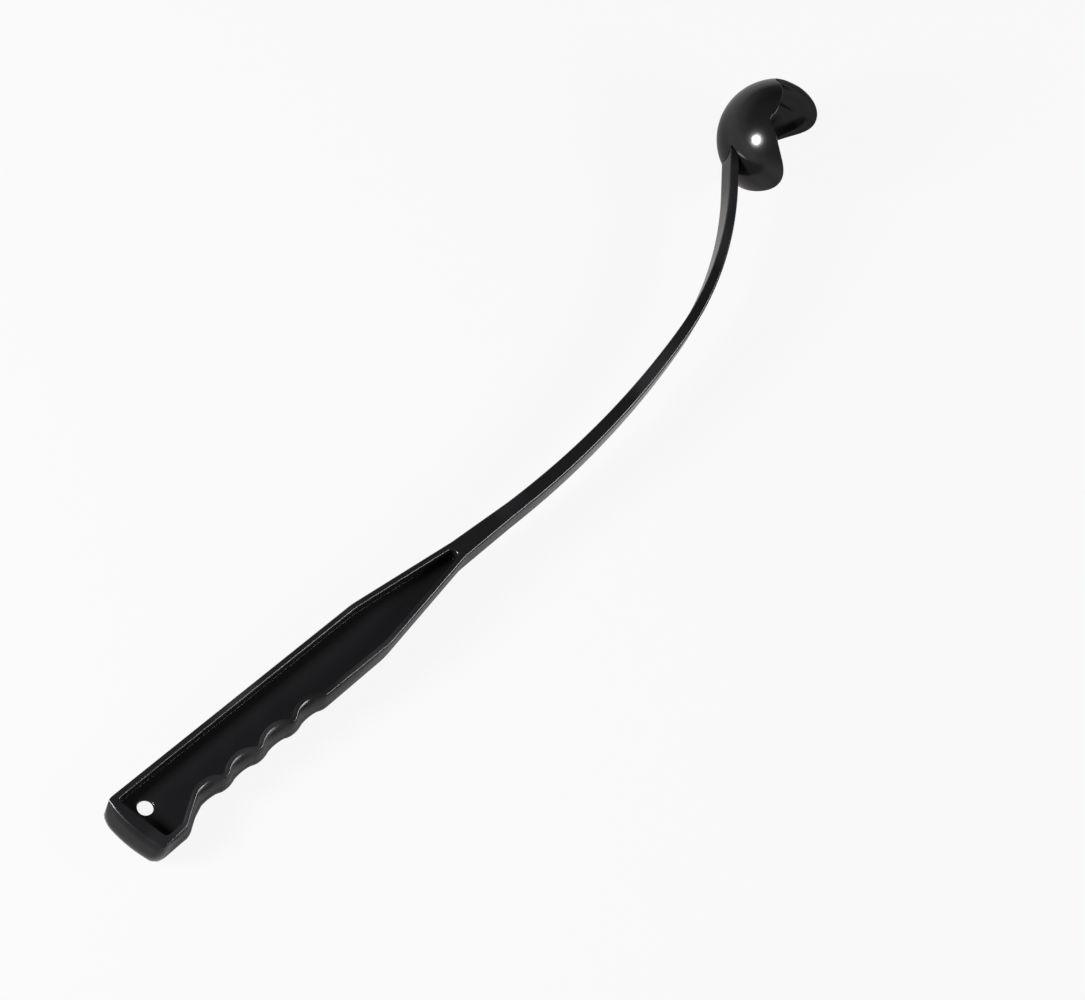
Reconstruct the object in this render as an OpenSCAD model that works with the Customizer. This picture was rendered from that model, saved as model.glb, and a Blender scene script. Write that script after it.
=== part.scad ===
// Dog ball launcher stick: a grip with finger grooves, a whip arm and a two-jaw ball cup.
// Millimetres, +Z up. The swing plane is z = 0 and the origin is the centre of the hang hole.
// +X runs along the grip towards the cup, +Y is the smooth back edge of the grip.
// The real stick is one moulding. It is drawn as the solids that it works as.

/* [Grip] */
// Depth of the grip and the arm across the swing plane
depth = 20; // [14:0.5:28]
// Height of the smooth back edge above the hang hole
spine_y = 13.6; // [11:0.2:18]
// Depth of the finger crests below the hang hole
grip_y = 16.4; // [13:0.2:20]
// Depth of the flared butt below the hang hole
flare_y = 23.2; // [21:0.2:28]
// Distance from the hang hole back to the butt face
butt_back = 15.4; // [13:0.2:20]
// Lean of the butt face
butt_rake = 10.4; // [0:0.2:15]
// Bulge of the butt face across the depth
butt_crown = 4.4; // [1:0.1:5]
// Corner radius at the lower end of the butt
butt_low_r = 6; // [4:0.5:9]
// Corner radius at the upper end of the butt
butt_top_r = 5; // [3.5:0.5:8]
// Corner radius where the butt flare turns to the first finger groove
flare_r = 5; // [3.5:0.5:8]
// Slope from the butt flare into the first finger groove
ramp_a = 32; // [24:1:36]
// Distance from the hang hole to the start of the grip's taper
taper_x = 153; // [145:1:165]
// Thickness of the rim that runs round the grip
rim_w = 2.4; // [1.8:0.1:3]
// Thickness of the web inside the rim
web_t = 3; // [2:0.1:5]
// Wall left between the grip's pocket and the neck
pocket_end = 2.6; // [1.5:0.1:5]
// Corner radius of the pocket at the neck
pocket_r = 2.6; // [1:0.1:2.8]
// Diameter of the hang hole
hole_d = 8.6; // [5:0.1:10]

/* [Finger grooves] */
// Number of finger grooves
groove_n = 4; // [3:1:4]
// Distance from the hang hole to the first groove
groove_x = 28.2; // [26:0.2:34]
// Spacing of the grooves
groove_pitch = 23.5; // [21:0.1:25]
// Depth of each groove
groove_depth = 4.2; // [3:0.1:4.6]
// Radius of each groove
groove_r = 12.5; // [11:0.1:13.5]

/* [Arm] */
// Distance from the hang hole to the end of the grip
neck_x = 218; // [205:1:230]
// Height of the neck's middle above the hang hole
neck_y = 0.4; // [-2:0.1:3]
// Width of the neck where it leaves the grip
neck_w = 11.4; // [10:0.1:14]
// Length of the straight neck up to the whip axis
neck_len = 44; // [35:1:65]
// Dip of the neck below the grip's line
neck_dip = 1.3; // [0:0.1:4]
// Width of the arm at the whip axis
whip_w = 8.6; // [7:0.1:10]
// Width of the arm where its bend tightens
mid_w = 6.6; // [5.5:0.1:7.5]
// Width of the arm at the cup
tip_w = 5.2; // [4:0.1:6]
// Radius of the long bend
bend1_r = 595; // [500:5:700]
// Angle of the long bend
bend1_a = 15; // [10:0.5:20]
// Radius of the tight bend
bend2_r = 215; // [180:5:260]
// Angle of the tight bend
bend2_a = 26; // [20:0.5:32]

/* [Cup] */
// Diameter of the ball that the cup holds
ball_d = 63.5; // [58:0.5:70]
// Gap between the ball and the inside of the cup
ball_gap = 0.25; // [0.1:0.05:1]
// Wall of the cup
cup_wall = 3.2; // [2.2:0.1:4]
// Distance from the end of the tight bend to the cup's middle, along the arm
cup_along = 51; // [45:0.5:56]
// Distance of the cup's middle from the arm's line
cup_side = 25.7; // [22:0.1:28]
// Angle between the arm's end and the mouth of the cup
mouth_a = 112; // [105:0.2:122]
// Roll of the mouth about the line out of it
cup_roll = 16.5; // [0:0.5:30]
// Radius of the scoop that cuts the mouth and leaves the two jaws
mouth_r = 32.9; // [30:0.1:35]
// Distance of the scoop's middle in front of the cup's middle
mouth_x = 17.8; // [15:0.1:20]
// Width of the relieved lip inside each jaw's edge
lip_w = 4; // [2:0.1:6]
// Depth of the relieved lip
lip_d = 0.8; // [0.4:0.1:1.2]

/* [Fits] */
// Gap round the whip axis between neck and arm
whip_gap = 0.3; // [0.2:0.05:0.5]
// Gap between the two jaws at the back of the cup
jaw_gap = 0.3; // [0.2:0.05:0.5]

/* [Hidden] */
$fn = 180;

// Overlap that lets arcs cross what they would only touch
hair = 0.01;

// Finger grooves: each groove and crest are arcs that touch, so both follow from pitch and depth
groove_turn = 2 * atan(2 * groove_depth / groove_pitch);
arc_sum = groove_pitch / 2 / sin(groove_turn);
crest_r = arc_sum - groove_r;
crest_cy = crest_r - grip_y;
groove_cy = groove_depth - grip_y - groove_r;
last_crest_x = groove_x + (groove_n - 0.5) * groove_pitch;

// Taper of the grip into the neck
low_a = atan((neck_y - neck_w / 2 + grip_y) / (neck_x - taper_x));
top_a = atan((spine_y - neck_y - neck_w / 2) / (neck_x - taper_x));

// Middle line of the neck and arm: headings, bend centres and the points between them
head0 = -neck_dip;
head1 = head0 + bend1_a;
head2 = head1 + bend2_a;
whip_p = [neck_x, neck_y] + neck_len * dir(head0);
bend1_c = whip_p + bend1_r * dir(head0 + 90);
bend_p = bend1_c + bend1_r * dir(head1 - 90);
bend2_c = bend_p + bend2_r * dir(head1 + 90);
tip_p = bend2_c + bend2_r * dir(head2 - 90);

// Cup: middle, radii and the heading of the mouth
cup_c = tip_p + cup_along * dir(head2) + cup_side * dir(head2 - 90);
seat_r = ball_d / 2 + ball_gap;
cup_r = seat_r + cup_wall;
mouth_dir = head2 - mouth_a;

// Butt crown: radius of the bulge across the depth, and stock left for it to trim
butt_spare = 1;
crown_r = (depth * depth / 4 + butt_crown * butt_crown) / (2 * butt_crown);

function dir(a) = [cos(a), sin(a)];
// Butt face, inset by t, at height y. The outer face is drawn proud and the bulge then trims it,
// and the pocket stays behind the bulge's edges
function butt_inset(t) = t > 0 ? t + butt_crown : -butt_spare;
function butt_x(y, t) = butt_inset(t) / cos(butt_rake) - butt_back - y * tan(butt_rake);
// Height where groove and crest arcs touch, inset by t
function touch_y(t) = crest_cy + (groove_cy - crest_cy) * (crest_r - t) / arc_sum;
// Point where the ramp touches the first groove, inset by t
function ramp_p(t) = [groove_x, groove_cy] + (groove_r + t - hair) * dir(90 + ramp_a);
// Foot of the ramp on the butt flare, inset by t
function ramp_foot(t) = [ramp_p(t).x - (ramp_p(t).y + flare_y - t) / tan(ramp_a), t - flare_y];
// Lower and upper edges of the taper, inset by t, at distance x
function low_y(x, t) = (x - taper_x) * tan(low_a) + t / cos(low_a) - grip_y;
function top_y(x, t) = spine_y - (x - taper_x) * tan(top_a) - t / cos(top_a);

// Corner helpers: unit vector, half of the corner's turn, setback of a rounding
function unit(v) = v / norm(v);
function inner(p, i) = unit(p[(i + 1) % len(p)] - p[i]) * unit(p[(i + len(p) - 1) % len(p)] - p[i]);
function setback(p, i, r) = r / tan(acos(inner(p, i)) / 2);
function ahead(p, i, d) = p[i] + d * unit(p[(i + 1) % len(p)] - p[i]);
function behind(p, i, d) = p[i] + d * unit(p[(i + len(p) - 1) % len(p)] - p[i]);
function middle(p, i, r) = p[i] + r / sin(acos(inner(p, i)) / 2)
    * unit(unit(p[(i + 1) % len(p)] - p[i]) + unit(p[(i + len(p) - 1) % len(p)] - p[i]));

// Convex outline with its own true radius at each corner
module rounded(p, r) {
    polygon([for (i = [0 : len(p) - 1])
        each r[i] > 0 ? [behind(p, i, setback(p, i, r[i])), ahead(p, i, setback(p, i, r[i]))] : [p[i]]]);
    for (i = [0 : len(p) - 1])
        if (r[i] > 0)
            intersection() {
                translate(middle(p, i, r[i])) circle(r = r[i] + hair);
                polygon([p[i], ahead(p, i, setback(p, i, r[i])), middle(p, i, r[i]),
                         behind(p, i, setback(p, i, r[i]))]);
            }
}

// Butt end up to the first groove, inset by t
module butt_outline(t) {
    p = ramp_p(t);
    top = spine_y - t;
    rounded(
        [[butt_x(t - flare_y, t), t - flare_y], ramp_foot(t), p, [p.x, top], [butt_x(top, t), top]],
        [butt_low_r - t, flare_r - t, 0, 0, butt_top_r - t]);
}

// Plain shank and taper from the last crest to the end of the grip, inset by t
module shank_outline(t) {
    x = t > 0 ? neck_x - pocket_end : neck_x;
    r = t > 0 ? pocket_r : 0;
    rounded(
        [[last_crest_x, t - grip_y], [taper_x - t * tan(low_a / 2), t - grip_y],
         [x, low_y(x, t)], [x, top_y(x, t)],
         [taper_x - t * tan(top_a / 2), spine_y - t], [last_crest_x, spine_y - t]],
        [0, 0, r, r, 0, 0]);
}

// Outline of the grip, inset by t
module grip_outline(t) {
    x0 = ramp_p(t).x;
    difference() {
        union() {
            butt_outline(t);
            shank_outline(t);
            translate([x0, touch_y(t)])
                square([last_crest_x + 2 - x0, spine_y - t - touch_y(t)]);
            for (i = [0 : groove_n - 1])
                translate([groove_x + (i + 0.5) * groove_pitch, crest_cy]) circle(r = crest_r - t + hair);
        }
        for (i = [0 : groove_n - 1])
            translate([groove_x + i * groove_pitch, groove_cy]) circle(r = groove_r + t);
    }
}

// What the bulged butt face takes off the square end
module butt_cut() {
    translate([-butt_back, 0, 0]) rotate([90, 0, butt_rake])
        linear_extrude(height = 140, center = true) difference() {
            translate([-6, -depth]) square([7 + butt_crown, 2 * depth]);
            translate([crown_r, 0]) circle(r = crown_r);
        }
}

// Part of a bend between two radii, with its width running from w0 to w1
module tapered_bend(c, r, a0, a1, w0, w1) {
    am = (a0 + a1) / 2;
    half = (a1 - a0) / 2;
    shift = (w0 - w1) / (4 * sin(half));
    far = (r + w0) / cos(half);
    intersection() {
        difference() {
            translate(c + shift * dir(am - 90)) circle(r = r + (w0 + w1) / 4);
            translate(c - shift * dir(am - 90)) circle(r = r - (w0 + w1) / 4);
        }
        polygon([c, c + far * dir(a0), c + far * dir(a1)]);
    }
}

// Outline of the arm from the whip axis into the cup
module arm_outline() {
    side = (tip_w / 2 + hair) * dir(head2 + 90);
    root = tip_p - tip_w / 2 * dir(head2);
    end = tip_p + cup_along * dir(head2);
    translate(whip_p) circle(r = whip_w / 2);
    tapered_bend(bend1_c, bend1_r, head0 - 90, head1 - 90, whip_w, mid_w);
    tapered_bend(bend2_c, bend2_r, head1 - 90, head2 - 90, mid_w, tip_w);
    polygon([root, tip_p - side, end - side, end + side, tip_p + side]);
}

// Scoop across the cup that cuts the mouth, grown by t
module scoop(t) {
    rotate([-cup_roll, 0, 0]) translate([mouth_x, 0, 0]) cylinder(r = mouth_r + t, h = 3 * cup_r, center = true);
}

// Round cup with its mouth cut, in its own axes: x out of the mouth, y to the upper jaw
module cup() {
    difference() {
        sphere(r = cup_r);
        sphere(r = seat_r);
        scoop(0);
        intersection() {
            sphere(r = seat_r + lip_d);
            scoop(lip_w);
        }
    }
}

// Half of the cup on one side of the split, side = 1 for the upper jaw and -1 for the lower jaw
module jaw(side) {
    translate([cup_c.x, cup_c.y, 0]) rotate([0, 0, mouth_dir]) intersection() {
        cup();
        translate([-2 * cup_r, side > 0 ? jaw_gap / 2 : -4 * cup_r - jaw_gap / 2, -2 * cup_r])
            cube([4 * cup_r, 4 * cup_r, 4 * cup_r]);
    }
}

module grip_rim() {
    color("#1b1b1d") difference() {
        difference() {
            linear_extrude(height = depth, center = true) grip_outline(0);
            butt_cut();
        }
        linear_extrude(height = depth + 2, center = true) grip_outline(rim_w);
    }
}

module grip_web() {
    color("#18181a") linear_extrude(height = web_t, center = true) difference() {
        grip_outline(rim_w);
        circle(r = hole_d / 2);
    }
}

module neck() {
    n0 = neck_w / 2;
    n1 = whip_w / 2 * dir(head0 + 90);
    color("#1b1b1d") linear_extrude(height = depth, center = true) difference() {
        polygon([[neck_x, neck_y - n0], whip_p - n1, whip_p + n1, [neck_x, neck_y + n0]]);
        translate(whip_p) circle(r = whip_w / 2 + whip_gap);
    }
}

module arm() {
    color("#1b1b1d") difference() {
        linear_extrude(height = depth, center = true) arm_outline();
        translate([cup_c.x, cup_c.y, 0]) sphere(r = cup_r);
    }
}

module lower_jaw() {
    color("#1d1d1f") jaw(-1);
}

module upper_jaw() {
    color("#1d1d1f") jaw(1);
}

grip_rim();
grip_web();
neck();
arm();
lower_jaw();
upper_jaw();
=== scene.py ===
import math

import bmesh
import bpy
from mathutils import Matrix, Vector


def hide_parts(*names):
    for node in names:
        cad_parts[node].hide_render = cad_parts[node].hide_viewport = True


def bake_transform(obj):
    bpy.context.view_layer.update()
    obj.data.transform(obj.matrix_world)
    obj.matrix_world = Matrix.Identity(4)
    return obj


bl_info = {
    "name": "Ball launcher stick",
    "version": (1, 0, 0),
    "blender": (4, 5, 0),
    "location": "View3D > Sidebar > Launcher",
    "description": "Builds a throwing stick: a grooved grip, a springy arm and a split ball cup",
    "category": "Object",
}

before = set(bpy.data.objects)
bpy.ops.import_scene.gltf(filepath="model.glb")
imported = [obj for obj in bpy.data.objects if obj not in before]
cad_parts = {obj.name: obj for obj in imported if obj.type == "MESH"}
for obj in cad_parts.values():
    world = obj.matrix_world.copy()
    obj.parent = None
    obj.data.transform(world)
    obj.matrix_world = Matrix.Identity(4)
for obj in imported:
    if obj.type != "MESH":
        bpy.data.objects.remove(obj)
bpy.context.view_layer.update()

QUARTER = math.pi / 2
FULL_TURN = 2 * math.pi

# Closest that two points may lie, and the height within which a face counts as flat
WELD = 1e-6
FLAT = 1e-7

# Steps in which the outline of the stick is drawn
CORNER_STEPS = 8
BUTT_STEPS = 12
RAMP_STEPS = 2
FIRST_GROOVE_STEPS = 14
GROOVE_STEPS = 16
CREST_STEPS = 14
NECK_STEPS = 14
LONG_BEND_STEPS = 48
TIGHT_BEND_STEPS = 40
ARM_END_STEPS = 6
HOLE_STEPS = 64

# Shares of the butt face and of the neck's edge that are drawn in steps before the next corner
BUTT_SHARE = 0.75
NECK_SHARE = 0.8

# Where the pocket's outline starts on its upper edge, and the stick's on its way into the cup
POCKET_SHARE = 0.3
ARM_END_SHARE = 0.56

# Steps in which rounded edges and fillets are drawn
EDGE_STEPS = 7
SMALL_EDGE_STEPS = 4
FILLET_STEPS = 6

# Heights of the rings in the stick's side, as shares of half its depth
SIDE_RINGS = (0.4, 0.8, 1)

# Height of the last straight ring over the web's fillet, in fillets
OVER_FILLET = 1.6

# Least share of a mitre, so that sharp corners don't run away
MITRE_LEAST = 0.4

# Wear starts this far down the side, in roundings of the edge
WEAR_REACH = 1.01

# Points round the cup, rings from its back to the mouth outside and inside
CUP_STEPS = 240
DOME_RINGS = 56
SEAT_RINGS = 48
TURNS = [FULL_TURN * i / CUP_STEPS for i in range(CUP_STEPS)]

# Angles between which the mouth's edge is looked for, and how often that range is halved
MOUTH_FROM = math.radians(20)
MOUTH_TO = math.radians(175)
HALVINGS = 32

# How strongly polypropylene bends light
POLYPROPYLENE_IOR = 1.49

# Sockets of a mix node for two colours and for their mixture
MIX_A, MIX_B, MIXED = 6, 7, 2

# Stage: half the floor's side, the air under the stick and the distance of the lamps
FLOOR_HALF = 6
FLOOR_GAP = 0.0004
LAMP_AWAY = 1.5


def linear(hex_colour):
    """Linear colour of an sRGB hex value."""
    parts = [int(hex_colour[i : i + 2], 16) / 255 for i in (1, 3, 5)]
    return [c / 12.92 if c <= 0.04045 else ((c + 0.055) / 1.055) ** 2.4 for c in parts]


def length(name, description, millimetres):
    """A length that the user can set, written here in millimetres."""
    return bpy.props.FloatProperty(
        name=name, description=description, default=millimetres / 1000, precision=5, unit="LENGTH"
    )


def angle(name, description, degrees):
    """An angle that the user can set, written here in degrees."""
    return bpy.props.FloatProperty(
        name=name, description=description, default=math.radians(degrees), subtype="ANGLE"
    )


def share(name, description, value):
    """A share of a whole, from 0 to 1, that the user can set."""
    return bpy.props.FloatProperty(
        name=name, description=description, default=value, min=0, max=1, subtype="FACTOR"
    )


def colour(name, description, hex_colour):
    """A colour that the user can set, written here as an sRGB hex value."""
    return bpy.props.FloatVectorProperty(
        name=name,
        description=description,
        default=linear(hex_colour),
        size=3,
        min=0,
        max=1,
        subtype="COLOR",
    )


class GripSizes(bpy.types.PropertyGroup):
    """Sizes of the grip, measured from the centre of the hang hole."""

    depth: length("Depth", "Depth of the grip and the arm across the swing plane", 20)
    spine_y: length("Spine", "Height of the smooth back edge", 13.6)
    grip_y: length("Crests", "Depth of the finger crests below the hang hole", 16.4)
    flare_y: length("Flare", "Depth of the flared butt below the hang hole", 23.2)
    butt_back: length("Butt", "Distance back to the butt face", 15.4)
    butt_rake: angle("Butt rake", "Lean of the butt face", 10.4)
    butt_crown: length("Butt crown", "Bulge of the butt face across the depth", 3.5)
    butt_low_r: length("Lower butt corner", "Corner radius at the lower end of the butt", 6)
    butt_top_r: length("Upper butt corner", "Corner radius at the upper end of the butt", 5)
    flare_r: length("Flare corner", "Corner radius where the flare turns to the first groove", 5)
    ramp_a: angle("Ramp", "Slope from the flare into the first finger groove", 32)
    taper_x: length("Taper start", "Distance to the start of the taper", 155)
    taper_r: length("Taper radius", "Radius that eases the straight grip into its taper", 45)
    rim_w: length("Rim", "Thickness of the rim round the grip", 3.5)
    web_t: length("Web", "Thickness of the web inside the rim", 3)
    pocket_end: length("Pocket end", "Wall left between the pocket and the neck", 2.6)
    pocket_r: length("Pocket corner", "Corner radius of the pocket at the neck", 2.6)
    hole_d: length("Hang hole", "Diameter of the hang hole", 8.6)
    groove_n: bpy.props.IntProperty(
        name="Grooves", description="Number of finger grooves", default=4
    )
    groove_x: length("First groove", "Distance to the first finger groove", 28.2)
    groove_pitch: length("Groove pitch", "Spacing of the finger grooves", 23.5)
    groove_depth: length("Groove depth", "Depth of each finger groove", 4.2)
    groove_r: length("Groove radius", "Radius of each finger groove", 12.5)
    groove_fill: share("Groove fill", "Share of each groove's depth filled at mid depth", 0.6)
    edge_r: length("Outer edge", "Rounding of the outer edges", 1.4)
    butt_edge_r: length("Butt edge", "Rounding of the edges at the butt", 0.5)
    edge_ease: length("Edge easing", "Length at the hang hole where the two roundings meet", 10)
    soft_in: length("Soft edge across", "Rounding of the fingers' edges, across the face", 1.4)
    soft_down: length("Soft edge down", "Rounding of the fingers' edges, down the side", 9.5)
    soft_ease: length("Soft edge easing", "Length past the hang hole where soft edges set in", 12)
    swell: length("Swelling", "Swelling of the sides at the butt and fingers, at mid depth", 2)
    swell_x: length("Swelling end", "Distance to the end of the swelling", 138)
    swell_x_ease: length("Swelling end easing", "Length over which the swelling ends", 20)
    swell_y: length("Swelling top", "Height above the hang hole where the swelling ends", 12.5)
    swell_y_ease: length("Swelling top easing", "Height over which the swelling ends", 8)
    butt_bow: length("Butt bow", "Bulge of the butt face along its length", 3.5)
    bow_down: length("Bow place", "Distance of the bow's middle below the hang hole", 10.12)
    bow_half: length("Bow length", "Half the length of the bow along the butt face", 23)
    bow_ease: length("Bow easing", "Distance into the grip over which the bow ends", 14.5)
    rim_edge_r: length("Rim edge", "Rounding of the rim's inner edge", 1.2)
    web_fillet: length("Web fillet", "Fillet between the web and the rim", 0.12)
    hole_edge_r: length("Hole edge", "Rounding of the hang hole's edges", 0.4)


class ArmSizes(bpy.types.PropertyGroup):
    """Sizes of the neck and the arm."""

    neck_x: length("Neck", "Distance from the hang hole to the end of the grip", 222)
    neck_y: length("Neck height", "Height of the neck's middle above the hang hole", 0.3)
    neck_w: length("Neck width", "Width of the neck where it leaves the grip", 11.4)
    neck_r: length("Neck radius", "Radius that eases the taper into the neck", 30)
    neck_len: length("Neck length", "Length of the straight neck", 40)
    neck_dip: angle("Neck dip", "Dip of the neck below the grip's line", 1.3)
    whip_w: length("Whip width", "Width of the arm where its bend starts", 8.6)
    mid_w: length("Middle width", "Width of the arm where its bend tightens", 6.6)
    tip_w: length("Tip width", "Width of the arm at the cup", 5.2)
    bend1_r: length("Long bend", "Radius of the long bend", 595)
    bend1_a: angle("Long bend angle", "Angle of the long bend", 15)
    bend2_r: length("Tight bend", "Radius of the tight bend", 215)
    bend2_a: angle("Tight bend angle", "Angle of the tight bend", 28.5)
    flex: length("Flexing length", "Length of arm that takes up the whip of a throw, each way", 42)


class CupSizes(bpy.types.PropertyGroup):
    """Sizes of the ball cup. The near side gap of its mouth is the one on the side of +Z."""

    seat_r: length("Seat", "Radius of the ball seat", 32)
    wall: length("Wall", "Wall of the cup", 3.2)
    along: length("Along", "Distance along the arm from its tight bend to the cup", 40.5)
    side: length("Side", "Distance of the cup's middle from the arm's line", 27.7)
    mouth_a: angle("Mouth", "Angle between the arm's end and the mouth", 114.5)
    mouth_roll: angle("Mouth roll", "Roll of the mouth about the line out of it", 16.5)
    mouth_x: length("Mouth distance", "Distance of the scoop's middle from the cup's middle", 17)
    mouth_back: length("Mouth depth", "Reach of the mouth's scoop from its middle back", 26.4)
    mouth_up: length("Mouth height", "Reach of the mouth's scoop from its middle to the jaws", 31.8)
    mouth_square: bpy.props.FloatProperty(
        name="Mouth squareness",
        description="Power of the scoop's outline, 2 for an ellipse",
        default=2.5,
    )
    slant: length("Slant", "Extra depth of the near side gap next to the upper jaw", 13.5)
    slant_at: length("Slant place", "Distance from the gap's middle to half of that depth", 7.5)
    slant_ease: length("Slant easing", "Distance over which that depth sets in, each way", 9)
    root_turn: angle("Root", "Place round the mouth of the hollow at the near gap's root", 113)
    root_wide: angle("Root width", "Width of that hollow, each way", 8)
    root_deep: angle("Root depth", "Depth of that hollow", 6.5)
    lip_w: length("Lip width", "Width of the relieved lip inside each jaw's edge", 4)
    lip_d: length("Lip depth", "Depth of the relieved lip", 0.8)
    edge_r: length("Edge", "Rounding of the jaws' edges", 0.7)
    arm_seat: length("Arm seat", "Depth that the arm runs into the cup's wall", 1.2)
    flex: length("Flexing length", "Length of wall that takes up the jaws' opening, each way", 11)


class Finish(bpy.types.PropertyGroup):
    """Colours and grain of the plastic and the stage."""

    plastic: colour("Plastic", "Black of the moulded plastic", "#141415")
    plastic_pale: colour("Plastic, paler", "Black where the plastic cooled more slowly", "#18181a")
    scuff: colour("Scuffs", "Colour that handling leaves on the edges", "#232325")
    flow: length("Flow", "Size of the patches in which the plastic cooled", 45)
    peel: length("Orange peel", "Size of the soft waves of the moulded skin", 6)
    peel_h: length("Orange peel height", "Height of those waves", 0.06)
    grain: length("Grain", "Size of the fine grain, coarser than the real one to show", 0.7)
    grain_h: length("Grain height", "Height of that grain", 0.0025)
    rough_low: share("Roughness, low", "Roughness between the grain", 0.16)
    rough_high: share("Roughness, high", "Roughness on the grain", 0.22)
    rough_scuff: share("Roughness, scuffs", "Roughness that scuffs add", 0.12)
    scuff_from: share("Scuffs from", "Level of the patches where scuffs set in", 0.48)
    scuff_to: share("Scuffs to", "Level of the patches where scuffs are full", 0.68)
    floor: colour("Floor", "Colour of the floor", "#a8a3a3")
    floor_seen: share("Floor, seen", "Share of plain white that the camera sees", 0.9)
    floor_mirrored: share("Floor, mirrored", "Share of plain white that the gloss mirrors", 0.1)


def held(value):
    """A value held between 0 and 1."""
    return min(1, max(0, value))


def eased(value):
    """A value held between 0 and 1, with soft ends."""
    t = held(value)
    return t * t * (3 - 2 * t)


def heading(a):
    """Direction in the swing plane."""
    return Vector((math.cos(a), math.sin(a), 0))


def left_of(v):
    """A direction in the swing plane turned a quarter to the left."""
    return Vector((-v.y, v.x, 0))


class Lines:
    """The points and angles that the sizes lead to, worked out as in the solids."""

    def __init__(self, grip, arm, cup):
        self.turn = 2 * math.atan(2 * grip.groove_depth / grip.groove_pitch)
        crest_r = grip.groove_pitch / 2 / math.sin(self.turn) - grip.groove_r
        self.crest_y = crest_r - grip.grip_y
        self.groove_y = grip.groove_depth - grip.grip_y - grip.groove_r
        reach = arm.neck_x - grip.taper_x
        self.low_a = math.atan((arm.neck_y - arm.neck_w / 2 + grip.grip_y) / reach)
        self.top_a = math.atan((grip.spine_y - arm.neck_y - arm.neck_w / 2) / reach)
        self.head0 = -arm.neck_dip
        self.head1 = self.head0 + arm.bend1_a
        self.head2 = self.head1 + arm.bend2_a
        self.whip = Vector((arm.neck_x, arm.neck_y, 0)) + arm.neck_len * heading(self.head0)
        centre = self.whip + arm.bend1_r * heading(self.head0 + QUARTER)
        self.bend = centre + arm.bend1_r * heading(self.head1 - QUARTER)
        centre = self.bend + arm.bend2_r * heading(self.head1 + QUARTER)
        self.tip = centre + arm.bend2_r * heading(self.head2 - QUARTER)
        self.foot = self.tip + cup.along * heading(self.head2)
        self.cup = self.foot - cup.side * heading(self.head2 + QUARTER)
        self.mouth = heading(self.head2 - cup.mouth_a)
        self.jaw = left_of(self.mouth)


def run_on(bm, path, point, steps=1):
    """Carries an outline on in a straight line."""
    start = path[-1].co.copy()
    for i in range(steps):
        path.append(bmesh.ops.extrude_vert_indiv(bm, verts=[path[-1]])["verts"][0])
        path[-1].co = start.lerp(point, (i + 1) / steps)


def swing_on(bm, path, centre, turn, steps):
    """Carries an outline on in an arc about a centre, to the left if the turn is positive."""
    known = len(bm.verts)
    bmesh.ops.spin(bm, geom=[path[-1]], cent=centre, axis=(0, 0, 1), angle=turn, steps=steps)
    bm.verts.ensure_lookup_table()
    path.extend(bm.verts[known:])


def bow_on(bm, path, end, radius, steps):
    """Carries an outline on to a point in an arc of that radius, to the left if positive."""
    chord = end - path[-1].co
    rise = math.sqrt(radius * radius - chord.length_squared / 4)
    side = math.copysign(1, radius)
    centre = (path[-1].co + end) / 2 + side * rise * left_of(chord).normalized()
    swing_on(bm, path, centre, 2 * math.asin(chord.length / 2 / radius), steps)


def round_on(bm, path, corner, onward, radius):
    """Carries an outline on to a corner and rounds it towards the next point."""
    back = (path[-1].co - corner).normalized()
    ahead = (onward - corner).normalized()
    turn = math.pi - back.angle(ahead)
    side = -1 if back.cross(ahead).z > 0 else 1
    run_on(bm, path, corner + back * radius * math.tan(turn / 2))
    swing_on(bm, path, path[-1].co - side * radius * left_of(back), side * turn, CORNER_STEPS)


def fingers_on(bm, path, grip, lines):
    """Carries an outline on from the first groove over the other grooves to the last crest."""
    for i in range(grip.groove_n):
        last = i == grip.groove_n - 1
        crest = Vector((grip.groove_x + (i + 0.5) * grip.groove_pitch, lines.crest_y, 0))
        if last:
            swing_on(bm, path, crest, lines.turn, CREST_STEPS // 2)
        else:
            swing_on(bm, path, crest, 2 * lines.turn, CREST_STEPS)
            groove = Vector((grip.groove_x + (i + 1) * grip.groove_pitch, lines.groove_y, 0))
            swing_on(bm, path, groove, -2 * lines.turn, GROOVE_STEPS)


def grip_round(bm, path, grip, lines, t):
    """Carries an outline, inset by t, from the upper taper round the grip to the lower one."""
    tan = math.tan
    inset = t + grip.butt_crown if t > 0 else 0
    top, low = grip.spine_y - t, t - grip.flare_y

    def butt(y):
        back = inset / math.cos(grip.butt_rake) - grip.butt_back
        return Vector((back - y * tan(grip.butt_rake), y, 0))

    first = Vector((grip.groove_x, lines.groove_y, 0))
    ramp = first + (grip.groove_r + t) * heading(QUARTER + grip.ramp_a)
    foot = Vector((ramp.x - (ramp.y - low) / tan(grip.ramp_a), low, 0))
    bend = Vector((grip.taper_x - t * tan(lines.top_a / 2), top, 0))
    round_on(bm, path, bend, butt(top), grip.taper_r - t)
    round_on(bm, path, butt(top), butt(low), grip.butt_top_r - t)
    run_on(bm, path, path[-1].co.lerp(butt(low), BUTT_SHARE), BUTT_STEPS)
    round_on(bm, path, butt(low), foot, grip.butt_low_r - t)
    round_on(bm, path, foot, ramp, grip.flare_r - t)
    run_on(bm, path, ramp, RAMP_STEPS)
    swing_on(bm, path, first, -(grip.ramp_a + lines.turn), FIRST_GROOVE_STEPS)
    fingers_on(bm, path, grip, lines)
    low_bend = Vector((grip.taper_x - t * tan(lines.low_a / 2), t - grip.grip_y, 0))
    round_on(bm, path, low_bend, low_bend + heading(lines.low_a), grip.taper_r - t)


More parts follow.
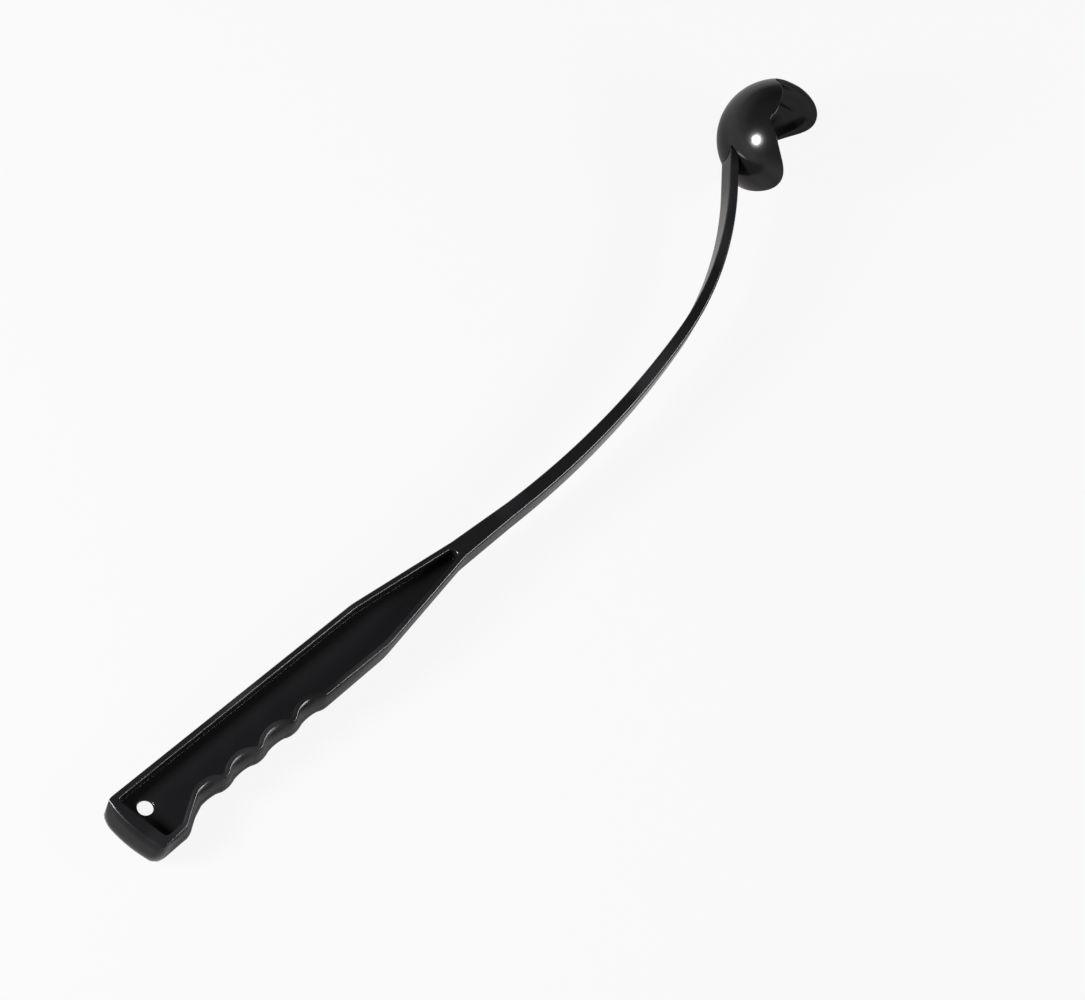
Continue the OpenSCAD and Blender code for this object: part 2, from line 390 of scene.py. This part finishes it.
def inwards(ring):
    """How far each point of a left-hand outline moves for a unit of inset."""
    moves = []
    for i, p in enumerate(ring):
        a = left_of(p - ring[i - 1]).normalized()
        b = left_of(ring[(i + 1) % len(ring)] - p).normalized()
        m = (a + b).normalized()
        moves.append(m / max(m.dot(a), MITRE_LEAST))
    return moves


def ring_edges(bm, ring):
    """The edges of a closed ring of vertices."""
    return [bm.edges.get((v, ring[i - 1])) for i, v in enumerate(ring)]


def carry(bm, ring, places):
    """Extrudes a closed ring of edges and sets the new ring down in its places."""
    made = set(bmesh.ops.extrude_edge_only(bm, edges=ring_edges(bm, ring))["geom"])
    new = [next(e.other_vert(v) for e in v.link_edges if e.other_vert(v) in made) for v in ring]
    for v, place in zip(new, places):
        v.co = place
    return new


def quarter_round(radius, steps):
    """Steps across and along a rounded edge, from its side to its face."""
    turns = [QUARTER * i / steps for i in range(1, steps + 1)]
    return [(radius * (1 - math.cos(a)), radius * (1 - math.sin(a))) for a in turns]


def finish_piece(name, bm, material):
    """Turns a bmesh into an object at the origin, with its normals outward."""
    bmesh.ops.remove_doubles(bm, verts=bm.verts, dist=WELD)
    bmesh.ops.recalc_face_normals(bm, faces=bm.faces)
    mesh = bpy.data.meshes.new(name)
    bm.to_mesh(mesh)
    bm.free()
    mesh.materials.append(material)
    piece = bpy.data.objects.new(name, mesh)
    bpy.context.scene.collection.objects.link(piece)
    return piece


def mark_wear(piece, levels):
    """Keeps on the mesh which vertices lie on edges that hands and ground rub."""
    wear = piece.data.attributes.new("edge_wear", "FLOAT", "POINT")
    wear.data.foreach_set("value", levels)


def add(tree, kind, inputs=None, **settings):
    """Adds a node with its settings, its values and its links."""
    made = tree.nodes.new(kind)
    for key, value in settings.items():
        setattr(made, key, value)
    for socket, value in (inputs or {}).items():
        if isinstance(value, bpy.types.NodeSocket):
            tree.links.new(value, made.inputs[socket])
        else:
            made.inputs[socket].default_value = value
    return made


def skin_wear(tree, finish, flow):
    """Where the edges are scuffed, in patches."""
    worn = add(tree, "ShaderNodeAttribute", attribute_name="edge_wear").outputs["Fac"]
    span = {"Value": flow, "From Min": finish.scuff_from, "From Max": finish.scuff_to}
    patches = add(tree, "ShaderNodeMapRange", span).outputs["Result"]
    return add(tree, "ShaderNodeMath", {0: worn, 1: patches}, operation="MULTIPLY").outputs[0]


def skin_colour(tree, finish, flow, wear):
    """Two shades of black, greyer where the edges are scuffed."""
    shades = {"Factor": flow, MIX_A: (*finish.plastic, 1), MIX_B: (*finish.plastic_pale, 1)}
    body = add(tree, "ShaderNodeMix", shades, data_type="RGBA").outputs[MIXED]
    scuffed = {"Factor": wear, MIX_A: body, MIX_B: (*finish.scuff, 1)}
    return add(tree, "ShaderNodeMix", scuffed, data_type="RGBA").outputs[MIXED]


def skin_roughness(tree, finish, grain, wear):
    """Roughness that follows the grain, and more of it where the edges are scuffed."""
    span = {"Value": grain, "To Min": finish.rough_low, "To Max": finish.rough_high}
    rough = add(tree, "ShaderNodeMapRange", span).outputs["Result"]
    scuffed = {0: wear, 1: finish.rough_scuff, 2: rough}
    return add(tree, "ShaderNodeMath", scuffed, operation="MULTIPLY_ADD").outputs[0]


def skin_relief(tree, finish, peel, grain):
    """Soft waves with the fine grain on them."""
    waves = {"Strength": 1.0, "Distance": finish.peel_h, "Height": peel}
    waved = add(tree, "ShaderNodeBump", waves).outputs["Normal"]
    fine = {"Strength": 1.0, "Distance": finish.grain_h, "Height": grain, "Normal": waved}
    return add(tree, "ShaderNodeBump", fine).outputs["Normal"]


def moulded_polypropylene(finish):
    """Black polypropylene, injection moulded in a polished tool.

    The eye gets a deep black with a soft gloss. The skin has soft waves that break up a
    lamp's reflection, a fine grain that softens it, and greyer scuffed edges.
    """
    name = "Polypropylene, injection moulded, black"
    if name in bpy.data.materials:
        return bpy.data.materials[name]
    material = bpy.data.materials.new(name)
    material.use_nodes = True
    tree = material.node_tree
    tree.nodes.clear()
    place = add(tree, "ShaderNodeTexCoord").outputs["Object"]

    def noise(size, detail):
        waves = {"Vector": place, "Scale": 1 / size, "Detail": detail}
        return add(tree, "ShaderNodeTexNoise", waves).outputs["Fac"]

    flow = noise(finish.flow, 2.0)
    peel = noise(finish.peel, 1.0)
    grain = noise(finish.grain, 3.0)
    wear = skin_wear(tree, finish, flow)
    skin = {
        "Base Color": skin_colour(tree, finish, flow, wear),
        "Roughness": skin_roughness(tree, finish, grain, wear),
        "IOR": POLYPROPYLENE_IOR,
        "Normal": skin_relief(tree, finish, peel, grain),
    }
    shader = add(tree, "ShaderNodeBsdfPrincipled", skin)
    add(tree, "ShaderNodeOutputMaterial", {"Surface": shader.outputs["BSDF"]})
    return material


def matt_paper(finish):
    """White paper, matt, as photographers lay it under a product.

    The camera sees it nearly plain white. The lamps shade the rest of it, and the plastic's
    gloss mirrors it grey.
    """
    material = bpy.data.materials.new("Paper, matt white")
    material.use_nodes = True
    tree = material.node_tree
    tree.nodes.clear()
    ray = add(tree, "ShaderNodeLightPath").outputs
    mirrored = add(
        tree,
        "ShaderNodeMath",
        {0: ray["Is Glossy Ray"], 1: ray["Is Transmission Ray"]},
        operation="ADD",
    )
    white = add(
        tree,
        "ShaderNodeMath",
        {0: mirrored.outputs[0], 1: finish.floor_mirrored},
        operation="MULTIPLY",
    )
    white = add(
        tree,
        "ShaderNodeMath",
        {0: ray["Is Camera Ray"], 1: finish.floor_seen, 2: white.outputs[0]},
        operation="MULTIPLY_ADD",
    )
    shaded = add(tree, "ShaderNodeBsdfDiffuse", {"Color": (*finish.floor, 1), "Roughness": 0.5})
    plain = add(tree, "ShaderNodeEmission", {"Color": (1, 1, 1, 1), "Strength": 1.0})
    paper = add(
        tree,
        "ShaderNodeMixShader",
        {0: white.outputs[0], 1: shaded.outputs["BSDF"], 2: plain.outputs["Emission"]},
    )
    add(tree, "ShaderNodeOutputMaterial", {"Surface": paper.outputs["Shader"]})
    return material


class SideForm:
    """Form of the stick's side over its outline: rounded edges, swollen sides, bulged butt."""

    def __init__(self, grip, cup, lines):
        self.grip, self.cup, self.lines = grip, cup, lines
        self.top = grip.depth / 2
        self.into = heading(grip.butt_rake)
        self.crown_r = (self.top**2 + grip.butt_crown**2) / (2 * grip.butt_crown)

    def fullness(self, p):
        """How full the side is at a point: 1 at the butt and the fingers, 0 elsewhere."""
        grip = self.grip
        along = eased((grip.swell_x - p.x) / grip.swell_x_ease)
        return along * eased((grip.swell_y - p.y) / grip.swell_y_ease)

    def place(self, p, move, rise, inset, drop):
        """Where a point of the outline goes, at a height and a stage of the edge's rounding."""
        grip = self.grip
        full = self.fullness(p)
        soft = full * held(p.x / grip.soft_ease)
        butt = held(0.5 - p.x / grip.edge_ease)
        edge = grip.edge_r + butt * (grip.butt_edge_r - grip.edge_r)
        z = rise - drop * (edge + soft * (grip.soft_down - edge))
        swell = full * (1 - (z / self.top) ** 2)
        q = p + move * inset * (edge + soft * (grip.soft_in - edge))
        q -= move * swell * grip.swell
        if p.x > 0 > p.y:
            q.y -= swell * grip.groove_fill * max(0, p.y + grip.grip_y)
        q += self.into * self.crown(p, z)
        q -= self.into * self.bow(p)
        return q + Vector((0, 0, z))

    def from_butt(self, p):
        """A point's distance from the butt face, and its height along that face."""
        off = p + Vector((self.grip.butt_back, 0, 0))
        return off.dot(self.into), off.dot(left_of(self.into))

    def crown(self, p, z):
        """How far the bulge across the depth moves a point into the grip."""
        depth, _ = self.from_butt(p)
        return max(0, self.crown_r - math.sqrt(self.crown_r**2 - z**2) - depth)

    def bow(self, p):
        """How far the bulge along the butt face moves a point out of the grip."""
        grip = self.grip
        depth, height = self.from_butt(p)
        level = max(0, 1 - ((height + grip.bow_down) / grip.bow_half) ** 2)
        return grip.butt_bow * level * eased(1 - depth / grip.bow_ease)

    def into_cup(self, q):
        """Where a point of the arm's end lies inside the cup's wall."""
        cup, foot = self.cup, self.lines.foot
        ahead = heading(self.lines.head2)
        off = (q - foot).dot(left_of(ahead))
        seat = cup.seat_r + cup.wall - cup.arm_seat
        back = math.sqrt(seat**2 - (cup.side + off) ** 2 - q.z**2)
        return foot + left_of(ahead) * off - ahead * back + Vector((0, 0, q.z))


class LAUNCHER_OT_stick(bpy.types.Operator):
    """Builds the grip, neck and arm as the one moulding that they are"""

    bl_idname = "launcher.stick"
    bl_label = "Grip and arm"

    def execute(self, context):
        scene = context.scene
        grip, arm, cup = scene.launcher_grip, scene.launcher_arm, scene.launcher_cup
        lines = Lines(grip, arm, cup)
        bm = bmesh.new()
        ring, ends = self.outline(bm, grip, arm, lines)
        face = self.side_wall(bm, ring, ends, SideForm(grip, cup, lines))
        rim = self.pocket_outline(bm, grip, arm, lines)
        floor = self.pocket(bm, rim, grip)
        self.fill(bm, face, rim)
        self.fill(bm, floor, self.hang_hole(bm, grip))
        half = bm.verts[:] + bm.edges[:] + bm.faces[:]
        bmesh.ops.mirror(bm, geom=half, axis="Z", merge_dist=WELD)
        for f in bm.faces:
            heights = [v.co.z for v in f.verts]
            f.smooth = max(heights) - min(heights) >= FLAT
        piece = finish_piece("grip_and_arm", bm, moulded_polypropylene(scene.launcher_finish))
        rub = grip.depth / 2 - grip.edge_r * WEAR_REACH
        mark_wear(piece, [1.0 if abs(v.co.z) > rub else 0.0 for v in piece.data.vertices])
        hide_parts("grip_rim", "grip_web", "neck", "arm")
        along = arm.flex * heading(lines.head0)
        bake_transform(piece)
        return {"FINISHED"}

    def fill(self, bm, outer, inner):
        """Fills the flat face between two rings."""
        edges = ring_edges(bm, outer) + ring_edges(bm, inner)
        bmesh.ops.triangle_fill(bm, use_beauty=True, edges=edges, normal=(0, 0, 1))

    def outline(self, bm, grip, arm, lines):
        """Outline of the stick in the swing plane, and which points are the end in the cup."""
        side0 = arm.whip_w / 2 * heading(lines.head0 + QUARTER)
        side1 = arm.mid_w / 2 * heading(lines.head1 + QUARTER)
        side2 = arm.tip_w / 2 * heading(lines.head2 + QUARTER)
        long_half, tight_half = (arm.whip_w + arm.mid_w) / 4, (arm.mid_w + arm.tip_w) / 4
        into_cup = lines.tip.lerp(lines.foot, ARM_END_SHARE)
        upper = Vector((arm.neck_x, arm.neck_y + arm.neck_w / 2, 0))
        lower = Vector((arm.neck_x, arm.neck_y - arm.neck_w / 2, 0))
        path = [bmesh.ops.create_vert(bm, co=into_cup + side2)["vert"][0]]
        run_on(bm, path, lines.tip + side2, ARM_END_STEPS)
        bow_on(bm, path, lines.bend + side1, tight_half - arm.bend2_r, TIGHT_BEND_STEPS)
        bow_on(bm, path, lines.whip + side0, long_half - arm.bend1_r, LONG_BEND_STEPS)
        run_on(bm, path, path[-1].co.lerp(upper, NECK_SHARE), NECK_STEPS)
        round_on(bm, path, upper, Vector((grip.taper_x, grip.spine_y, 0)), arm.neck_r)
        grip_round(bm, path, grip, lines, 0)
        round_on(bm, path, lower, lines.whip - side0, arm.neck_r)
        run_on(bm, path, lines.whip - side0, NECK_STEPS)
        bow_on(bm, path, lines.bend - side1, arm.bend1_r + long_half, LONG_BEND_STEPS)
        bow_on(bm, path, lines.tip - side2, arm.bend2_r + tight_half, TIGHT_BEND_STEPS)
        run_on(bm, path, into_cup - side2, ARM_END_STEPS)
        run_on(bm, path, into_cup)
        bmesh.ops.contextual_create(bm, geom=[path[-1], path[0]])
        return path, {0, len(path) - 1, len(path) - 2}

    def side_wall(self, bm, ring, ends, form):
        """Raises the outline from the swing plane to its rounded edge, and gives the last ring."""
        base = [v.co.copy() for v in ring]
        moves = inwards(base)

        def places(rise, inset, drop):
            for i, (p, move) in enumerate(zip(base, moves)):
                q = form.place(p, move, rise, inset, drop)
                yield form.into_cup(q) if i in ends else q

        for v, place in zip(ring, places(0, 0, 0)):
            v.co = place
        for part in SIDE_RINGS:
            ring = carry(bm, ring, places(part * form.top, 0, part))
        for inset, drop in quarter_round(1, EDGE_STEPS):
            ring = carry(bm, ring, places(form.top, inset, drop))
        return ring

    def pocket_outline(self, bm, grip, arm, lines):
        """Outline of the pocket inside the rim, in the swing plane."""
        t, end = grip.rim_w, arm.neck_x - grip.pocket_end
        reach = end - grip.taper_x
        low = math.tan(lines.low_a) * reach + t / math.cos(lines.low_a) - grip.grip_y
        high = grip.spine_y - math.tan(lines.top_a) * reach - t / math.cos(lines.top_a)
        low_end, high_end = Vector((end, low, 0)), Vector((end, high, 0))
        start = high_end - POCKET_SHARE * reach * heading(-lines.top_a)
        path = [bmesh.ops.create_vert(bm, co=start)["vert"][0]]
        grip_round(bm, path, grip, lines, t)
        round_on(bm, path, low_end, high_end, grip.pocket_r)
        round_on(bm, path, high_end, start, grip.pocket_r)
        bmesh.ops.contextual_create(bm, geom=[path[-1], path[0]])
        return path

    def pocket(self, bm, ring, grip):
        """Sinks the pocket from the rim's face to the web, and gives the ring there."""
        base = [v.co.copy() for v in ring]
        moves = inwards(base)
        top, web = grip.depth / 2, grip.web_t / 2
        edge, fillet = grip.rim_edge_r, grip.web_fillet

        def places(z, inset):
            return [p + m * inset + Vector((0, 0, z)) for p, m in zip(base, moves)]

        for v, place in zip(ring, places(top, -edge)):
            v.co = place
        for inset, drop in reversed([(0, edge), *quarter_round(edge, SMALL_EDGE_STEPS)][:-1]):
            ring = carry(bm, ring, places(top - drop, -inset))
        for z in (top - 2 * edge, web + OVER_FILLET * fillet, web + fillet):
            ring = carry(bm, ring, places(z, 0))
        for inset, drop in quarter_round(fillet, FILLET_STEPS):
            ring = carry(bm, ring, places(web + drop, inset))
        return ring

    def hang_hole(self, bm, grip):
        """Raises the hang hole's wall from the swing plane, and gives its ring on the web."""
        radius, edge, web = grip.hole_d / 2, grip.hole_edge_r, grip.web_t / 2
        ring = bmesh.ops.create_circle(bm, segments=HOLE_STEPS, radius=radius)["verts"]
        ring.sort(key=lambda v: math.atan2(v.co.y, v.co.x))
        out = [v.co.normalized() for v in ring]
        ring = carry(bm, ring, [radius * d + Vector((0, 0, web - edge)) for d in out])
        for inset, drop in quarter_round(edge, SMALL_EDGE_STEPS):
            rise = Vector((0, 0, web - drop))
            ring = carry(bm, ring, [(radius + inset) * d + rise for d in out])
        return ring


class LAUNCHER_OT_cup(bpy.types.Operator):
    """Builds the ball cup with its two jaws and relieved lip"""

    bl_idname = "launcher.cup"
    bl_label = "Ball cup"

    def execute(self, context):
        scene = context.scene
        grip, arm, cup = scene.launcher_grip, scene.launcher_arm, scene.launcher_cup
        lines = Lines(grip, arm, cup)
        bm = bmesh.new()
        ring = self.dome(bm, cup, lines)
        ring = self.edge_and_lip(bm, ring, cup, lines)
        self.seat(bm, ring, cup, lines)
        for f in bm.faces:
            f.smooth = True
        piece = finish_piece("ball_cup", bm, moulded_polypropylene(scene.launcher_finish))
        mark_wear(piece, [0.0] * len(piece.data.vertices))
        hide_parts("lower_jaw", "upper_jaw")
        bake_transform(piece)
        return {"FINISHED"}

    def dome(self, bm, cup, lines):
        """Draws the cup's outside from its back to the mouth's edge, and gives the ring there."""
        outer_r = cup.seat_r + cup.wall
        disc = bmesh.ops.create_circle(
            bm, cap_ends=True, cap_tris=True, segments=CUP_STEPS, radius=1
        )["verts"]
        pole = max(disc, key=lambda v: len(v.link_edges))
        ring = [v for v in disc if v != pole]
        ring.sort(key=lambda v: math.atan2(v.co.y, v.co.x) % FULL_TURN)
        pole.co = self.on_sphere(lines, 0, 0, outer_r)
        full = self.edges(cup, cup.edge_r, outer_r)
        first = [a / DOME_RINGS for a in full]
        for v, place in zip(ring, self.places(lines, first, outer_r)):
            v.co = place
        for i in range(2, DOME_RINGS + 1):
            angles = [a * i / DOME_RINGS for a in full]
            ring = carry(bm, ring, self.places(lines, angles, outer_r))
        return ring

    def edge_and_lip(self, bm, ring, cup, lines):
        """Carries the cup's wall round the mouth's edge and over the lip to the seat."""
        outer_r, lip_r = cup.seat_r + cup.wall, cup.seat_r + cup.lip_d
        rounding = quarter_round(cup.edge_r, SMALL_EDGE_STEPS)
        rings = [(drop, outer_r - inset) for inset, drop in rounding]
        rings += [(inset, lip_r + drop) for inset, drop in [(0, cup.edge_r), *rounding]]
        rings += [(cup.lip_w / 2, lip_r), (cup.lip_w, lip_r)]
        rings += [(cup.lip_w + cup.lip_d, cup.seat_r)]
        for grow, r in rings:
            ring = carry(bm, ring, self.places(lines, self.edges(cup, grow, r), r))
        return ring

    def seat(self, bm, ring, cup, lines):
        """Closes the cup's inside with the ball's seat, from two rings below the lip."""
        full = self.edges(cup, cup.lip_w + cup.lip_d, cup.seat_r)
        for i in range(SEAT_RINGS - 2, 0, -1):
            angles = [a * i / SEAT_RINGS for a in full]
            ring = carry(bm, ring, self.places(lines, angles, cup.seat_r))
        closed = bmesh.ops.contextual_create(bm, geom=ring_edges(bm, ring))["faces"]
        middle = bmesh.ops.poke(bm, faces=closed)["verts"][0]
        middle.co = self.on_sphere(lines, 0, 0, cup.seat_r)

    def places(self, lines, angles, r):
        """A ring of points of a sphere, each at its angle from the back of the cup."""
        return [self.on_sphere(lines, turn, away, r) for turn, away in zip(TURNS, angles)]

    def on_sphere(self, lines, turn, away, r):
        """Point of a sphere, turned round the mouth's axis and away from the back of the cup."""
        out = math.cos(turn) * lines.jaw + math.sin(turn) * Vector((0, 0, 1))
        return lines.cup + r * (math.sin(away) * out - math.cos(away) * lines.mouth)

    def edges(self, cup, grow, r):
        """Angles from the back of the cup at which the mouth's edge, grown, cuts a sphere."""
        return [self.mouth_angle(cup, turn, grow, r) for turn in TURNS]

    def mouth_angle(self, cup, turn, grow, r):
        """Angle from the back of the cup to the mouth's edge, by halving its range."""
        rolled = turn + cup.mouth_roll
        near = math.sin(rolled) > 0
        low, high = MOUTH_FROM, MOUTH_TO
        for _ in range(HALVINGS):
            middle = (low + high) / 2
            x, y = -r * math.cos(middle), r * math.sin(middle) * math.cos(rolled)
            if self.in_scoop(cup, x, y, grow, near):
                high = middle
            else:
                low = middle
        return low - self.root_hollow(cup, turn) if near else low

    def in_scoop(self, cup, x, y, grow, near):
        """Whether a point lies in the scoop that cuts the mouth, which slants in the near gap."""
        deep = cup.slant if near else 0
        slant = deep * (1 + math.tanh((y - cup.slant_at) / cup.slant_ease)) / 2
        back = abs(x - cup.mouth_x) / (cup.mouth_back + slant + grow)
        up = abs(y) / (cup.mouth_up + grow)
        return back**cup.mouth_square + up**cup.mouth_square < 1

    def root_hollow(self, cup, turn):
        """Depth of the hollow at the near gap's root, next to the lower jaw."""
        off = (turn - cup.root_turn) / cup.root_wide
        return cup.root_deep * math.exp(-(off**2))


class LAUNCHER_OT_stage(bpy.types.Operator):
    """Builds the pale floor, the soft lamps, the world and the camera"""

    bl_idname = "launcher.stage"
    bl_label = "Stage"

    def execute(self, context):
        scene = context.scene
        grip, arm, cup = scene.launcher_grip, scene.launcher_arm, scene.launcher_cup
        lines = Lines(grip, arm, cup)
        self.floor(scene, grip, cup, lines)
        self.lamps(scene, lines)
        self.world(scene)
        self.camera(scene)
        scene.view_settings.view_transform = "Standard"
        return {"FINISHED"}

    def floor(self, scene, grip, cup, lines):
        """A floor that the stick lies on, with its butt and its cup."""
        butt = Vector((-grip.butt_back, 0, -grip.depth / 2))
        drop = cup.seat_r + cup.wall - grip.depth / 2
        tilt = math.atan2(drop, lines.cup.x - butt.x)
        bm = bmesh.new()
        bmesh.ops.create_grid(bm, x_segments=1, y_segments=1, size=FLOOR_HALF)
        bmesh.ops.rotate(bm, verts=bm.verts, matrix=Matrix.Rotation(tilt, 3, "Y"))
        bmesh.ops.translate(bm, verts=bm.verts, vec=butt - Vector((0, 0, FLOOR_GAP)))
        finish_piece("floor", bm, matt_paper(scene.launcher_finish))

    def lamps(self, scene, lines):
        """A soft lamp at the left of the camera, and a long one at its right."""
        middle = Vector((0.3, 0.03, 0))
        to_left, to_right = Vector((-0.857, 0.281, 0.432)), Vector((0.53, -0.65, 0.54))
        self.lamp(scene, "left_softbox", lines.cup, to_left, width=0.4, height=0.4, watts=29)
        self.lamp(scene, "right_softbox", middle, to_right, width=1.4, height=0.36, watts=23)

    def lamp(self, scene, name, aim, towards, width, height, watts):
        """An oval lamp in a direction from the point that it is aimed at."""
        data = bpy.data.lights.new(name, "AREA")
        data.shape = "ELLIPSE"
        data.size = width
        data.size_y = height
        data.energy = watts
        lamp = bpy.data.objects.new(name, data)
        lamp.location = aim + towards.normalized() * LAMP_AWAY
        lamp.rotation_mode = "QUATERNION"
        lamp.rotation_quaternion = (-towards).to_track_quat("-Z", "Y")
        scene.collection.objects.link(lamp)

    def world(self, scene):
        """A room with pale walls, darker behind the cup, and a dim ceiling."""
        world = bpy.data.worlds.new("Pale room")
        world.use_nodes = True
        tree = world.node_tree
        tree.nodes.clear()
        towards = add(tree, "ShaderNodeTexCoord").outputs["Generated"]
        split = add(tree, "ShaderNodeSeparateXYZ", {"Vector": towards}).outputs
        walls_to_ceiling = {
            "Value": split["Z"],
            "From Min": 0.0,
            "From Max": 0.45,
            "To Min": 0.4,
            "To Max": 0.06,
        }
        butt_to_cup = {
            "Value": split["X"],
            "From Min": -0.2,
            "From Max": 0.6,
            "To Min": 1.0,
            "To Max": 0.25,
        }
        levels = {}
        for i, span in enumerate((walls_to_ceiling, butt_to_cup)):
            fade = add(tree, "ShaderNodeMapRange", span, interpolation_type="SMOOTHSTEP")
            levels[i] = fade.outputs["Result"]
        level = add(tree, "ShaderNodeMath", levels, operation="MULTIPLY").outputs[0]
        room = add(tree, "ShaderNodeBackground", {"Color": (1, 1, 1, 1), "Strength": level})
        add(tree, "ShaderNodeOutputWorld", {"Surface": room.outputs["Background"]})
        scene.world = world

    def camera(self, scene):
        """A long lens above the grip's end, looking along the stick."""
        data = bpy.data.cameras.new("camera")
        data.sensor_width = 36
        data.lens = 110.5
        data.clip_end = 50
        camera = bpy.data.objects.new("camera", data)
        place = Vector((-0.5399, -0.2954, 1.5743))
        right = Vector((0.69027, -0.68429, 0.2350)).normalized()
        back = -Vector((0.45728, 0.16092, -0.8746)).normalized()
        up = back.cross(right).normalized()
        axes = Matrix((right, up, back)).transposed().to_4x4()
        camera.matrix_world = Matrix.Translation(place) @ axes
        scene.collection.objects.link(camera)
        scene.camera = camera


class LAUNCHER_PT_panel(bpy.types.Panel):
    """Lists the pieces and the stage in the sidebar"""

    bl_idname = "LAUNCHER_PT_panel"
    bl_label = "Ball launcher stick"
    bl_space_type = "VIEW_3D"
    bl_region_type = "UI"
    bl_category = "Launcher"

    def draw(self, context):
        for operator in OPERATORS:
            self.layout.operator(operator.bl_idname)
        for group in GROUPS:
            settings = getattr(context.scene, group)
            for key in settings.__annotations__:
                self.layout.prop(settings, key)


OPERATORS = (LAUNCHER_OT_stick, LAUNCHER_OT_cup, LAUNCHER_OT_stage)
GROUPS = {
    "launcher_grip": GripSizes,
    "launcher_arm": ArmSizes,
    "launcher_cup": CupSizes,
    "launcher_finish": Finish,
}


def register():
    for cls in (*GROUPS.values(), *OPERATORS, LAUNCHER_PT_panel):
        bpy.utils.register_class(cls)
    for name, group in GROUPS.items():
        setattr(bpy.types.Scene, name, bpy.props.PointerProperty(type=group))


def unregister():
    for name in GROUPS:
        delattr(bpy.types.Scene, name)
    for cls in (LAUNCHER_PT_panel, *reversed(OPERATORS), *reversed(GROUPS.values())):
        bpy.utils.unregister_class(cls)


def main():
    register()
    bpy.ops.launcher.stick()
    bpy.ops.launcher.cup()
    bpy.ops.launcher.stage()


if __name__ == "__main__":
    main()
